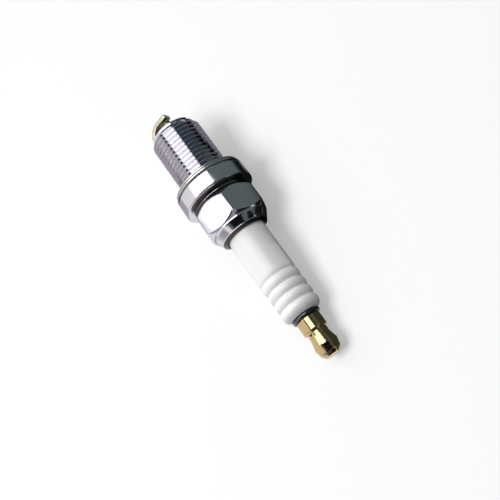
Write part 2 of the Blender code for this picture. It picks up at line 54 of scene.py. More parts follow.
# Places and sizes that the frame's solids give
shell_low, shell_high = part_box("shell")
RIM_X = shell_low.x
LIP_X = shell_high.x
FLANGE_RADIUS = shell_high.y
gasket_low, gasket_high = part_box("gasket")
GASKET_X = gasket_low.x
GASKET_END_X = gasket_high.x
GASKET_RADIUS = gasket_high.y
insulator_low, insulator_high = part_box("insulator")
NOSE_TIP_X = insulator_low.x
INSULATOR_END_X = insulator_high.x
SHOULDER_RADIUS = insulator_high.y
electrode_low, electrode_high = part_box("centre_electrode")
ELECTRODE_TIP_X = electrode_low.x
ELECTRODE_BOSS_END_X = electrode_high.x
ELECTRODE_HEAD_RADIUS = electrode_high.y
strap_low, strap_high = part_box("ground_electrode")
STRAP_TOP_X = strap_low.x
STRAP_FOOT_X = strap_high.x
STRAP_OUTER_Y = strap_low.y
STRAP_TIP_Y = strap_high.y
STRAP_WIDTH = strap_high.z - strap_low.z
stud_low, stud_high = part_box("terminal_stud")
STUD_FOOT_X = stud_low.x
STUD_TIP_X = stud_high.x
COLLAR_RADIUS = stud_high.y
nut_low, nut_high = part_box("terminal_nut")
NUT_X = nut_low.x
NUT_END_X = nut_high.x
NUT_BASE_RADIUS = nut_high.y

# Shell: rim, thread and relief neck
RIM_RADIUS = 6.0 * MM
RIM_BORE = 4.7 * MM
RIM_EDGE = 0.15 * MM
RIM_LAND = 0.75 * MM
THREAD_RADIUS = 6.95 * MM
THREAD_ROOT = 6.22 * MM
THREAD_PITCH = 1.25 * MM
RELIEF_RADIUS = 6.35 * MM
RELIEF_LENGTH = 2.1 * MM

# Shell: flange, waist and hexagon
FLANGE_LENGTH = 4.2 * MM
FLANGE_FILLET = 0.45 * MM
FLANGE_EDGE = 0.2 * MM
WAIST_RADIUS = 7.6 * MM
WAIST_BULGE = 0.25 * MM
HEX_X = 5.6 * MM
HEX_END_X = 13.3 * MM
HEX_HALF = 8.0 * MM
HEX_CORNER_TRIM = 0.12 * MM
HEX_CHAMFER_RADIUS = 7.8 * MM
HEX_CHAMFER_LOW = 1.5 * MM
HEX_CHAMFER_HIGH = 1.1 * MM
HEX_EDGE = 0.06 * MM

# Shell: crimped lip and the cavity inside
CRIMP_RADIUS = 7.65 * MM
CRIMP_STRAIGHT = 0.5 * MM
CRIMP_FILLET = 0.9 * MM
LIP_RADIUS = 5.4 * MM
LIP_LAND = 0.75 * MM
LIP_END_WIDTH = 1.1 * MM
LIP_END_RISE = 0.65 * MM
LIP_BEAD = 0.04 * MM
LIP_THICKNESS = 1.6 * MM
CAVITY_RADIUS = 6.65 * MM
OUTSIDE_RADIUS = CAVITY_RADIUS * 1.05
CAVITY_X = 3.6 * MM
CAVITY_TAPER = 1.1 * MM
BODY_BORE = 5.15 * MM
SEAT_X = -7.6 * MM
SEAT_RISE = 0.7 * MM
LEDGE_RADIUS = 4.25 * MM
LEDGE_LENGTH = 2.2 * MM

# Gasket
GASKET_SHEET = 0.4 * MM
GASKET_BORE = 6.75 * MM
GASKET_LIP = 0.42 * MM
GASKET_LIP_DROP = 0.3 * MM
GASKET_BEAD = 0.45 * MM
GASKET_CREASE = 0.3 * MM
GASKET_CREASE_DEPTH = 0.75 * MM

# Insulator
BARREL_RADIUS = 5.15 * MM
BODY_RADIUS = 4.9 * MM
NOSE_ROOT_RADIUS = 3.85 * MM
NOSE_TIP_RADIUS = 2.35 * MM
NOSE_FILLET = 0.4 * MM
PACKING_LIFT = 0.7 * MM
CONE_START = 0.44
CONE_END = 0.72
SHOULDER_X = 4.95 * MM
SHOULDER_END_X = 8.15 * MM
SHOULDER_TAPER = 0.9 * MM
STUD_BORE = 2.0 * MM
ELECTRODE_BORE = 1.35 * MM
GROOVE_COUNT = 4
GROOVE_PITCH = 2.65 * MM
GROOVE_DEPTH = 0.48 * MM
FIRST_GROOVE_DEPTH = 0.28 * MM
LAST_GROOVE_FROM_END = 3.2 * MM
GROOVE_FILLET = 0.12 * MM
TOP_FACE_RADIUS = 3.9 * MM
TOP_FILLET = 1.7 * MM

# Electrodes
ELECTRODE_RADIUS = 1.25 * MM
ELECTRODE_HEAD_X = -6.0 * MM
ELECTRODE_HEAD_END_X = -4.9 * MM
ELECTRODE_BOSS_RADIUS = 1.1 * MM
CORE_BORE = 0.8 * MM
CORE_FROM_TIP = 3.0 * MM
STRAP_THICKNESS = 1.2 * MM
STRAP_BEND = 3.2 * MM
STRAP_EDGE = 0.2 * MM

# Terminal stud and nut
STUD_THREAD_CREST = 1.93 * MM
STUD_THREAD_ROOT = 1.55 * MM
STUD_THREAD_PITCH = 0.7 * MM
STUD_THREAD_FROM_COLLAR = 0.8 * MM
STUD_TIP_CHAMFER = 0.5 * MM
STUD_SHANK_RADIUS = 1.75 * MM
STUD_FOOT_RADIUS = 1.45 * MM
STUD_FOOT_END_X = 14.1 * MM
COLLAR_LENGTH = 0.9 * MM
COLLAR_FILLET = 0.35 * MM
COLLAR_GAP = 0.1 * MM
NUT_BORE = 2.0 * MM
NUT_BORE_DEPTH = 8.5 * MM
NUT_BASE_LENGTH = 3.35 * MM
NUT_EDGE = 0.22 * MM
NUT_STEP = 0.45 * MM
NUT_NECK_RADIUS = 2.6 * MM
NUT_NECK_LENGTH = 1.1 * MM
NUT_BULB_RADIUS = 3.175 * MM
NUT_BULB_FROM_END = 2.9 * MM
NUT_NOSE_RADIUS = 2.75 * MM
NUT_NOSE_FROM_END = 0.95 * MM
NUT_TIP_RADIUS = 1.9 * MM
STAKE_COUNT = 3
STAKE_RADIUS = 0.55 * MM
STAKE_DEPTH = 0.4 * MM
STAKE_FLARE = 1.3
PUNCH_LENGTH = 1.45
PUNCH_SINK = 0.275
STAKE_FIRST_ANGLE = math.radians(-16)

# Fineness of the meshes; the points that hold a fillet stand HOLD of its length away, on runs long enough
LARGE_STEPS = 144
SMALL_STEPS = 96
FILLET_SEGMENTS = 5
THREAD_SEGMENTS = 2
HOLD = 1.3
HOLD_SHARE = 0.45
STAKE_STEPS = 24
TINY = 0.001 * MM
SMOOTH_ANGLE = math.radians(32)

# Camera: the photograph's angle on the plug, and its scale of 4.05 pixels for a millimetre on the axis
PICTURE = 500
PIXELS_PER_MM = 4.05
CAMERA_DISTANCE = 190 * MM
CAMERA_TILT = math.radians(19.5)
CAMERA_TURN = math.radians(26)
CAMERA_ROLL = math.atan2(0.811, 0.585)
CAMERA_AIM_X = 20 * MM
CAMERA_AIM_ACROSS = -6.5
SENSOR = 36

# Settings of nodes that several finishes share
RGBA = {"data_type": "RGBA"}
ONE_WAY = {"noise_dimensions": "1D"}
SMOOTH = {"interpolation_type": "SMOOTHSTEP"}


def colour(code):
    """An sRGB hex code as the linear colour that a socket takes."""
    channels = [int(code[place : place + 2], 16) / 255 for place in (1, 3, 5)]
    linear = [value / 12.92 if value <= 0.04045 else ((value + 0.055) / 1.055) ** 2.4 for value in channels]
    return (*linear, 1)


def add(tree, kind, settings=None, **inputs):
    """Adds a node; each input is a plain value or another node's output socket."""
    node = tree.nodes.new("ShaderNode" + kind)
    for name, value in (settings or {}).items():
        setattr(node, name, value)
    for name, value in inputs.items():
        socket = node.inputs[int(name[1:])] if name[1:].isdigit() else node.inputs[name.replace("_", " ")]
        if isinstance(value, bpy.types.NodeSocket):
            tree.links.new(value, socket)
        else:
            socket.default_value = value
    return node


def new_finish(name):
    """A bare Principled material, its node tree and its shader."""
    made = bpy.data.materials.new(name)
    made.use_nodes = True
    return made, made.node_tree, made.node_tree.nodes["Principled BSDF"]


def round_axis(tree):
    """Places on a turned surface: the coordinates, and how far each point is from the plug's axis."""
    place = add(tree, "TexCoord").outputs["Object"]
    axes = add(tree, "SeparateXYZ", Vector=place)
    flat = add(tree, "CombineXYZ", Y=axes.outputs["Y"], Z=axes.outputs["Z"])
    radius = add(tree, "VectorMath", {"operation": "LENGTH"}, _0=flat.outputs[0])
    return place, axes.outputs["X"], radius.outputs["Value"]


def turned_nickel_plate():
    """Bright nickel on turned steel: a cool near mirror whose lathe rings draw reflections out sideways."""
    made, tree, shader = new_finish("nickel_plate_turned")
    place, along, radius = round_axis(tree)
    # The lathe's feed of about 0.1 mm is too fine to show, so the rings are drawn 0.4 mm apart
    path = add(tree, "Math", {"operation": "ADD"}, _0=along, _1=radius)
    rings = add(tree, "TexNoise", ONE_WAY, W=path.outputs[0], Scale=1 / (0.4 * MM), Detail=2.0)
    handling = add(tree, "TexNoise", Vector=place, Scale=1 / (5 * MM), Detail=4.0)
    dull = add(tree, "MapRange", _0=handling.outputs[0], _1=0.3, _2=0.7, _3=0.1, _4=0.19)
    relief = add(tree, "Bump", Height=rings.outputs[0], Strength=0.5, Distance=0.004 * MM)
    tree.links.new(dull.outputs[0], shader.inputs["Roughness"])
    tree.links.new(relief.outputs[0], shader.inputs["Normal"])
    shader.inputs["Base Color"].default_value = colour("#d3d1d6")
    shader.inputs["Metallic"].default_value = 1
    return made


def rolled_nickel_plate():
    """Bright nickel on a rolled thread: burnished flanks that mirror each other, duller in the roots, whose
    colour is painted darker as shade.
    """
    made, tree, shader = new_finish("nickel_plate_rolled_thread")
    place, _, radius = round_axis(tree)
    patches = add(tree, "TexNoise", Vector=place, Scale=1 / (1.5 * MM), Detail=3.0)
    edge = add(tree, "MapRange", _0=patches.outputs[0], _1=0.3, _2=0.7, _3=0.05 * MM, _4=0.3 * MM)
    depth = add(tree, "Math", {"operation": "SUBTRACT"}, _0=radius, _1=THREAD_ROOT)
    ratio = {"operation": "DIVIDE", "use_clamp": True}
    root_shade_and_dullness = add(tree, "Math", ratio, _0=depth.outputs[0], _1=edge.outputs[0])
    # Painted shade: the tone darkens towards the thread's roots, as shade inside the grooves
    tone = add(tree, "Mix", RGBA, Factor=root_shade_and_dullness.outputs[0], _6=colour("#b4b0b8"), _7=colour("#c9c6cc"))
    dull = add(tree, "MapRange", _0=root_shade_and_dullness.outputs[0], _3=0.14, _4=0.08)
    tree.links.new(tone.outputs[2], shader.inputs["Base Color"])
    tree.links.new(dull.outputs[0], shader.inputs["Roughness"])
    shader.inputs["Metallic"].default_value = 1
    return made


def drawn_nickel_plate():
    """Bright nickel on cold-drawn flats: smooth, with faint die lines along it and softer reflections."""
    made, tree, shader = new_finish("nickel_plate_drawn_flats")
    place = add(tree, "TexCoord").outputs["Object"]
    # Die lines are about 0.05 mm wide and are drawn at 0.3 mm so that they show, and run 10 mm along the plug
    stretch = add(tree, "Mapping", Vector=place, Scale=(1 / (10 * MM), 1 / (0.3 * MM), 1 / (0.3 * MM)))
    lines = add(tree, "TexNoise", Vector=stretch.outputs[0], Scale=1.0, Detail=2.0)
    handling = add(tree, "TexNoise", Vector=place, Scale=1 / (4 * MM), Detail=4.0)
    dull = add(tree, "MapRange", _0=handling.outputs[0], _1=0.3, _2=0.7, _3=0.16, _4=0.26)
    relief = add(tree, "Bump", Height=lines.outputs[0], Strength=0.4, Distance=0.006 * MM)
    tree.links.new(dull.outputs[0], shader.inputs["Roughness"])
    tree.links.new(relief.outputs[0], shader.inputs["Normal"])
    shader.inputs["Base Color"].default_value = colour("#d0ced4")
    shader.inputs["Metallic"].default_value = 1
    return made


def folded_steel():
    """Thin plated sheet, pressed and folded: satin, with the press's cloudy burnish."""
    made, tree, shader = new_finish("plated_sheet_folded")
    place = add(tree, "TexCoord").outputs["Object"]
    cloud = add(tree, "TexNoise", Vector=place, Scale=1 / (1.2 * MM), Detail=4.0)
    dull = add(tree, "MapRange", _0=cloud.outputs[0], _1=0.3, _2=0.7, _3=0.18, _4=0.34)
    tone = add(tree, "Mix", RGBA, Factor=cloud.outputs[0], _6=colour("#b9b7b6"), _7=colour("#d2d1cf"))
    relief = add(tree, "Bump", Height=cloud.outputs[0], Strength=0.3, Distance=0.005 * MM)
    tree.links.new(tone.outputs[2], shader.inputs["Base Color"])
    tree.links.new(dull.outputs[0], shader.inputs["Roughness"])
    tree.links.new(relief.outputs[0], shader.inputs["Normal"])
    shader.inputs["Metallic"].default_value = 1
    return made


def glazed_alumina():
    """White alumina under a clear fired glaze: a milky body below a wet gloss that ripples very slightly."""
    made, tree, shader = new_finish("alumina_glazed")
    place = add(tree, "TexCoord").outputs["Object"]
    body = add(tree, "TexNoise", Vector=place, Scale=1 / (6 * MM), Detail=3.0)
    tone = add(tree, "Mix", RGBA, Factor=body.outputs[0], _6=colour("#f1f0ec"), _7=colour("#f7f7f4"))
    ripple = add(tree, "TexNoise", Vector=place, Scale=1 / (2.5 * MM), Detail=1.0)
    relief = add(tree, "Bump", Height=ripple.outputs[0], Strength=0.25, Distance=0.02 * MM)
    gloss = add(tree, "MapRange", _0=body.outputs[0], _1=0.3, _2=0.7, _3=0.2, _4=0.28)
    tree.links.new(tone.outputs[2], shader.inputs["Base Color"])
    tree.links.new(gloss.outputs[0], shader.inputs["Roughness"])
    tree.links.new(relief.outputs[0], shader.inputs["Normal"])
    shader.inputs["IOR"].default_value = 1.52
    return made


def bare_alumina():
    """Fired alumina left unglazed on the nose: chalky, a little cream, with a fine grain."""
    made, tree, shader = new_finish("alumina_bare")
    place = add(tree, "TexCoord").outputs["Object"]
    # The grain of a few hundredths of a millimetre is drawn at 0.25 mm so that it shows
    grain = add(tree, "TexNoise", Vector=place, Scale=1 / (0.25 * MM), Detail=3.0)
    tone = add(tree, "Mix", RGBA, Factor=grain.outputs[0], _6=colour("#e4dfd3"), _7=colour("#f2eee4"))
    relief = add(tree, "Bump", Height=grain.outputs[0], Strength=0.4, Distance=0.01 * MM)
    tree.links.new(tone.outputs[2], shader.inputs["Base Color"])
    tree.links.new(relief.outputs[0], shader.inputs["Normal"])
    shader.inputs["Roughness"].default_value = 0.7
    shader.inputs["IOR"].default_value = 1.6
    return made


def drawn_nickel_alloy():
    """Nickel alloy drawn to a bar and annealed: pale straw metal with draw lines along the bar."""
    made, tree, shader = new_finish("nickel_alloy_drawn")
    place = add(tree, "TexCoord").outputs["Object"]
    # Draw lines are about 0.05 mm apart and are drawn at 0.3 mm so that they show
    stretch = add(tree, "Mapping", Vector=place, Scale=(1 / (4 * MM), 1 / (4 * MM), 1 / (0.3 * MM)))
    lines = add(tree, "TexNoise", Vector=stretch.outputs[0], Scale=1.0, Detail=3.0)
    tint = add(tree, "TexNoise", Vector=place, Scale=1 / (2 * MM), Detail=3.0)
    tone = add(tree, "Mix", RGBA, Factor=tint.outputs[0], _6=colour("#b7ae98"), _7=colour("#dcd6c4"))
    dull = add(tree, "MapRange", _0=lines.outputs[0], _1=0.3, _2=0.7, _3=0.22, _4=0.38)
    relief = add(tree, "Bump", Height=lines.outputs[0], Strength=0.4, Distance=0.008 * MM)
    tree.links.new(tone.outputs[2], shader.inputs["Base Color"])
    tree.links.new(dull.outputs[0], shader.inputs["Roughness"])
    tree.links.new(relief.outputs[0], shader.inputs["Normal"])
    shader.inputs["Metallic"].default_value = 1
    return made


def annealed_nickel_alloy():
    """The same bar's wide faces and cut end, with the furnace's olive film: dark and only softly bright."""
    made, tree, shader = new_finish("nickel_alloy_annealed")
    place = add(tree, "TexCoord").outputs["Object"]
    film = add(tree, "TexNoise", Vector=place, Scale=1 / (1.2 * MM), Detail=4.0)
    tone = add(tree, "Mix", RGBA, Factor=film.outputs[0], _6=colour("#57523a"), _7=colour("#7d775c"))
    dull = add(tree, "MapRange", _0=film.outputs[0], _1=0.3, _2=0.7, _3=0.25, _4=0.4)
    relief = add(tree, "Bump", Height=film.outputs[0], Strength=0.3, Distance=0.01 * MM)
    tree.links.new(tone.outputs[2], shader.inputs["Base Color"])
    tree.links.new(dull.outputs[0], shader.inputs["Roughness"])
    tree.links.new(relief.outputs[0], shader.inputs["Normal"])
    shader.inputs["Metallic"].default_value = 1
    return made


def heat_tint_and_shade_steel():
    """Plated steel made red hot to shrink the shell: the waist's dark brown oxide, with a dull sheen; the
    dark is partly painted shade in the waist's recess, and on the lip's end it is painted shade alone.
    """
    made, tree, shader = new_finish("steel_heat_tint_and_painted_shade")
    place = add(tree, "TexCoord").outputs["Object"]
    film = add(tree, "TexNoise", Vector=place, Scale=1 / (2 * MM), Detail=4.0)
    tone = add(tree, "Mix", RGBA, Factor=film.outputs[0], _6=colour("#332c2b"), _7=colour("#5f5857"))
    relief = add(tree, "Bump", Height=film.outputs[0], Strength=0.3, Distance=0.01 * MM)
    tree.links.new(tone.outputs[2], shader.inputs["Base Color"])
    tree.links.new(relief.outputs[0], shader.inputs["Normal"])
    shader.inputs["Roughness"].default_value = 0.25
    shader.inputs["Metallic"].default_value = 1
    return made


def blackened_steel():
    """Turned steel with a dark oxide coat: deep grey, and bright only where light strikes it straight."""
    made, tree, shader = new_finish("steel_dark_oxide")
    place, along, radius = round_axis(tree)
    path = add(tree, "Math", {"operation": "ADD"}, _0=along, _1=radius)
    rings = add(tree, "TexNoise", ONE_WAY, W=path.outputs[0], Scale=1 / (0.3 * MM), Detail=2.0)
    wear = add(tree, "TexNoise", Vector=place, Scale=1 / (1 * MM), Detail=4.0)
    tone = add(tree, "Mix", RGBA, Factor=wear.outputs[0], _6=colour("#4a4a4b"), _7=colour("#6e6e6f"))
    relief = add(tree, "Bump", Height=rings.outputs[0], Strength=0.5, Distance=0.004 * MM)
    tree.links.new(tone.outputs[2], shader.inputs["Base Color"])
    tree.links.new(relief.outputs[0], shader.inputs["Normal"])
    shader.inputs["Roughness"].default_value = 0.24
    shader.inputs["Metallic"].default_value = 1
    return made


def turned_brass():
    """Free-cutting brass, turned and left bare: a warm mirror with fine rings and a faint tarnish."""
    made, tree, shader = new_finish("brass_turned")
    place, along, radius = round_axis(tree)
    # The tool's feed of about 0.05 mm is drawn at 0.25 mm so that it shows
    path = add(tree, "Math", {"operation": "ADD"}, _0=along, _1=radius)
    rings = add(tree, "TexNoise", ONE_WAY, W=path.outputs[0], Scale=1 / (0.25 * MM), Detail=2.0)
    tarnish = add(tree, "TexNoise", Vector=place, Scale=1 / (2 * MM), Detail=4.0)
    tone = add(tree, "Mix", RGBA, Factor=tarnish.outputs[0], _6=colour("#bda476"), _7=colour("#cfb98c"))
    dull = add(tree, "MapRange", _0=tarnish.outputs[0], _1=0.3, _2=0.7, _3=0.1, _4=0.2)
    relief = add(tree, "Bump", Height=rings.outputs[0], Strength=0.5, Distance=0.004 * MM)
    tree.links.new(tone.outputs[2], shader.inputs["Base Color"])
    tree.links.new(dull.outputs[0], shader.inputs["Roughness"])
    tree.links.new(relief.outputs[0], shader.inputs["Normal"])
    shader.inputs["Metallic"].default_value = 1
    return made


def inner_finish(name, dark, light, grain, roughness, metallic):
    """A piece inside the shell or the bore, mottled between two tones at a grain given in metres."""
    made, tree, shader = new_finish(name)
    place = add(tree, "TexCoord").outputs["Object"]
    mottle = add(tree, "TexNoise", Vector=place, Scale=1 / grain, Detail=4.0)
    tone = add(tree, "Mix", RGBA, Factor=mottle.outputs[0], _6=colour(dark), _7=colour(light))
    relief = add(tree, "Bump", Height=mottle.outputs[0], Strength=0.4, Distance=grain / 20)
    tree.links.new(tone.outputs[2], shader.inputs["Base Color"])
    tree.links.new(relief.outputs[0], shader.inputs["Normal"])
    shader.inputs["Roughness"].default_value = roughness
    shader.inputs["Metallic"].default_value = metallic
    return made


def held_points(outline):
    """Adds a plain point on each side of a filleted corner, so that the runs between shade straight."""
    points = []
    for place, corner in enumerate(outline):
        beside = {-1: [], 1: []}
        if len(corner) == 3:
            here = Vector(corner[:2])
            runs = {step: Vector(outline[(place + step) % len(outline)][:2]) - here for step in (-1, 1)}
            reach = HOLD * corner[2] / math.tan(runs[-1].angle(runs[1]) / 2)
            for step, run in runs.items():
                if reach < HOLD_SHARE * run.length:
                    beside[step].append(tuple(here + run.normalized() * reach))
        points += [*beside[-1], corner, *beside[1]]
    return points


def add_wire(bm, outline, closed=False, segments=FILLET_SEGMENTS):
    """A wire through (x, radius) points in the XZ plane; a third number is that corner's fillet radius."""
    outline = held_points(outline)
    verts = [bm.verts.new((x, 0, radius)) for x, radius, *_ in outline]
    for pair in zip(verts, verts[1:]):
        bm.edges.new(pair)
    if closed:
        bm.edges.new((verts[-1], verts[0]))
    for vert, (_, _, *fillet) in zip(verts, outline):
        if fillet:
            one, other = [edge.other_vert(vert).co - vert.co for edge in vert.link_edges]
            bmesh.ops.bevel(
                bm,
                geom=[vert],
                offset=fillet[0] / math.tan(one.angle(other) / 2),
                offset_type="OFFSET",
                segments=segments,
                profile=0.5,
                affect="VERTICES",
                clamp_overlap=True,
                material=-1,
            )


def spin_wire(bm, steps, lead=0.0):
    """Spins the bmesh's wire once about the X axis, as a ring or, with a lead, as one turn of a helix."""
    wire = [vert for vert in bm.verts if not vert.link_faces] + [edge for edge in bm.edges if edge.is_wire]
    bmesh.ops.spin(
        bm,
        geom=wire,
        axis=(1, 0, 0),
        cent=(0, 0, 0),
        dvec=(lead / steps, 0, 0),
        angle=math.tau,
        steps=steps,
        use_merge=not lead,
    )


def add_thread(bm, pitch, crest, root, low_x, high_x, steps, limits):
    """A right-hand 60 degree thread on an empty bmesh, each point held between the two radii of limits(x).

    Past both ends it is flattened to one ring of that many steps, where the rest of the piece joins it.
    """
    start = low_x - pitch
    flank = (crest - root) * math.tan(math.radians(30))
    crest_flat = pitch / 8
    half_root = (pitch - crest_flat) / 2 - flank
    profile = [
        (start, root),
        (start + half_root, root, pitch / 9),
        (start + half_root + flank, crest, pitch / 18),
        (start + half_root + flank + crest_flat, crest, pitch / 18),
        (start + pitch - half_root, root, pitch / 9),
        (start + pitch, root),
    ]
    add_wire(bm, profile, segments=THREAD_SEGMENTS)
    spin_wire(bm, steps, lead=pitch)
    first_turn = bm.verts[:] + bm.edges[:] + bm.faces[:]
    for turn in range(1, math.ceil((high_x - low_x) / pitch) + 2):
        copied = bmesh.ops.duplicate(bm, geom=first_turn)["geom"]
        moved = [item for item in copied if isinstance(item, bmesh.types.BMVert)]
        bmesh.ops.translate(bm, verts=moved, vec=(pitch * turn, 0, 0))
    for vert in bm.verts:
        lowest, highest = limits(vert.co.x)
        radius = min(max(vert.co.yz.length, lowest), highest)
        turn = round(math.atan2(vert.co.y, vert.co.z) / math.tau * steps) / steps * math.tau
        x = min(max(vert.co.x, low_x), high_x)
        vert.co = (x, radius * math.sin(turn), radius * math.cos(turn))
    bmesh.ops.remove_doubles(bm, verts=bm.verts, dist=TINY)


def closed_up(bm):
    """Merges a finished bmesh's seams and turns its faces outwards."""
    bmesh.ops.remove_doubles(bm, verts=bm.verts, dist=TINY)
    bmesh.ops.recalc_face_normals(bm, faces=bm.faces)


def as_piece(name, bm, node, body, finishes):
    """The bmesh as a named object that rides on a body, in the place of a node of the frame."""
    mesh = bpy.data.meshes.new(name)
    bm.to_mesh(mesh)
    bm.free()
    mesh.shade_smooth()
    mesh.set_sharp_from_angle(angle=SMOOTH_ANGLE)
    for finish in finishes:
        mesh.materials.append(finish)
    piece = bpy.data.objects.new(name, mesh)
    bpy.context.scene.collection.objects.link(piece)
    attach(piece, body)
    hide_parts(node)
    return piece


def shell_thread_limits(x):
    """Lowest and highest radius of the shell's thread: its lead chamfer, and its run-out to the neck."""
    lead = max(RIM_RADIUS, RIM_RADIUS + x - RIM_X - RIM_LAND)
    run_out = max(RELIEF_RADIUS, RELIEF_RADIUS - RELIEF_LENGTH - x)
    climb = min(max(1 + (x + RELIEF_LENGTH) / THREAD_PITCH, 0), 1)
    lowest = THREAD_ROOT + (RELIEF_RADIUS - THREAD_ROOT) * climb
    highest = min(THREAD_RADIUS, lead, run_out)
    return min(lowest, highest), highest


def cut_hexagon(bm):
    """Cuts six flats on the turned corner ring and returns them."""
    flats = []
    for side in range(6):
        outward = Matrix.Rotation(side * math.tau / 6, 3, "X") @ Vector((0, 0, 1))
        ring = [face for face in bm.faces if HEX_X < face.calc_center_median().x < HEX_END_X]
        ring = [face for face in ring if face.calc_center_median().yz.length > OUTSIDE_RADIUS]
        near = {item for face in ring for item in (*face.verts, *face.edges)}
        cut = bmesh.ops.bisect_plane(
            bm,
            geom=ring + sorted(near, key=lambda item: (isinstance(item, bmesh.types.BMEdge), item.index)),
            dist=TINY / 100,
            plane_co=outward * HEX_HALF,
            plane_no=outward,
            clear_outer=True,
        )
        rim = [item for item in cut["geom_cut"] if isinstance(item, bmesh.types.BMEdge)]
        flats += bmesh.ops.contextual_create(bm, geom=rim)["faces"]
        bm.verts.index_update()
        bm.edges.index_update()
    return flats


def make_shell(turned, rolled, drawn, tinted_and_shaded):
    """The plated shell: rolled thread, turned flange and waist, hexagon and crimped lip, bored through."""
    bm = bmesh.new()
    low_x = RIM_X + RIM_LAND
    high_x = -RELIEF_LENGTH
    add_thread(bm, THREAD_PITCH, THREAD_RADIUS, THREAD_ROOT, low_x, high_x, LARGE_STEPS, shell_thread_limits)
    corner_radius = HEX_HALF / math.cos(math.pi / 6) - HEX_CORNER_TRIM
    lip_under = LIP_X - LIP_THICKNESS
    ridge_x = LIP_X - LIP_END_RISE
    ridge_radius = LIP_RADIUS + LIP_END_WIDTH
    outside = [
        (high_x, RELIEF_RADIUS),
        (0, RELIEF_RADIUS, 0.2 * MM),
        (0, FLANGE_RADIUS, FLANGE_EDGE),
        (FLANGE_LENGTH, FLANGE_RADIUS, FLANGE_FILLET),
        (FLANGE_LENGTH, WAIST_RADIUS, 0.2 * MM),
        ((FLANGE_LENGTH + HEX_X) / 2, WAIST_RADIUS + WAIST_BULGE, 0.6 * MM),
        (HEX_X, WAIST_RADIUS),
        (HEX_X, HEX_CHAMFER_RADIUS),
        (HEX_X + HEX_CHAMFER_LOW, corner_radius),
        (HEX_END_X - HEX_CHAMFER_HIGH, corner_radius),
        (HEX_END_X, HEX_CHAMFER_RADIUS),
        (HEX_END_X, CRIMP_RADIUS, 0.08 * MM),
        (HEX_END_X + CRIMP_STRAIGHT, CRIMP_RADIUS, CRIMP_FILLET),
        (ridge_x - 3 * LIP_BEAD, ridge_radius + LIP_BEAD, 0.2 * MM),
        (ridge_x, ridge_radius + LIP_BEAD, LIP_BEAD),
        (ridge_x + LIP_BEAD, ridge_radius - LIP_BEAD, LIP_BEAD),
        (LIP_X, LIP_RADIUS, 0.1 * MM),
    ]
    inside = [
        (lip_under, LIP_RADIUS),
        (lip_under - LIP_LAND, CAVITY_RADIUS),
        (CAVITY_X + CAVITY_TAPER, CAVITY_RADIUS),
        (CAVITY_X, BODY_BORE),
        (SEAT_X + SEAT_RISE, BODY_BORE),
        (SEAT_X, LEDGE_RADIUS),
        (SEAT_X - LEDGE_LENGTH, LEDGE_RADIUS),
        (SEAT_X - LEDGE_LENGTH - SEAT_RISE, RIM_BORE),
        (RIM_X, RIM_BORE, RIM_EDGE),
        (RIM_X, RIM_RADIUS, RIM_EDGE),
        (low_x, RIM_RADIUS),
    ]
    add_wire(bm, outside + inside)
    spin_wire(bm, LARGE_STEPS)
    closed_up(bm)
    for face in bm.faces:
        middle = face.calc_center_median()
        threaded = RIM_X + RIM_LAND < middle.x < -RELIEF_LENGTH and middle.yz.length > RIM_RADIUS
        face.material_index = 1 if threaded else 0
        # The waist gets its heat tint with painted shade in its recess; the lip's end is painted dark as
        # shade
        waist = FLANGE_LENGTH < middle.x < HEX_X and OUTSIDE_RADIUS < middle.yz.length < HEX_CHAMFER_RADIUS
        lip_end = middle.x > ridge_x + LIP_BEAD and LIP_RADIUS < middle.yz.length < ridge_radius
        if waist or lip_end:
            face.material_index = 3
    flats = cut_hexagon(bm)
    for flat in flats:
        flat.material_index = 2
    bmesh.ops.bevel(
        bm,
        geom=list(dict.fromkeys(edge for flat in flats for edge in flat.edges)),
        offset=HEX_EDGE,
        offset_type="OFFSET",
        segments=2,
        profile=0.5,
        affect="EDGES",
        clamp_overlap=True,
        material=-1,
    )
    closed_up(bm)
    as_piece("threaded_shell", bm, "shell", "plug", [turned, rolled, drawn, tinted_and_shaded])


def make_gasket(finish):
    """The crush ring: sheet folded over itself, whose rim shows a lip and a bead with dark folds behind."""
    bm = bmesh.new()
    bead_x = GASKET_X + GASKET_LIP + GASKET_CREASE
    lip_radius = GASKET_RADIUS - GASKET_LIP_DROP
    crease_radius = GASKET_RADIUS - GASKET_CREASE_DEPTH
    outline = [
        (GASKET_X + GASKET_SHEET / 2, GASKET_BORE),
        (GASKET_X, GASKET_BORE + 0.45 * MM, GASKET_SHEET),
        (GASKET_X, lip_radius, GASKET_LIP / 4),
        (GASKET_X + GASKET_LIP, lip_radius, GASKET_LIP / 4),
        (GASKET_X + GASKET_LIP, crease_radius),
        (bead_x, crease_radius),
        (bead_x, GASKET_RADIUS, GASKET_BEAD / 4),
        (bead_x + GASKET_BEAD, GASKET_RADIUS, GASKET_BEAD / 4),
        (bead_x + GASKET_BEAD, crease_radius),
        (GASKET_END_X, crease_radius),
        (GASKET_END_X, GASKET_BORE, GASKET_SHEET / 3),
        (GASKET_END_X - GASKET_SHEET, GASKET_BORE, GASKET_SHEET / 3),
        (GASKET_END_X - GASKET_SHEET, crease_radius - GASKET_SHEET, GASKET_SHEET / 3),
        (GASKET_X + GASKET_SHEET, crease_radius - GASKET_SHEET, GASKET_SHEET / 3),
        (GASKET_X + GASKET_SHEET, GASKET_BORE),
    ]
    add_wire(bm, outline, closed=True)
    spin_wire(bm, LARGE_STEPS)
    closed_up(bm)
    as_piece("folded_gasket", bm, "gasket", "gasket", [finish])


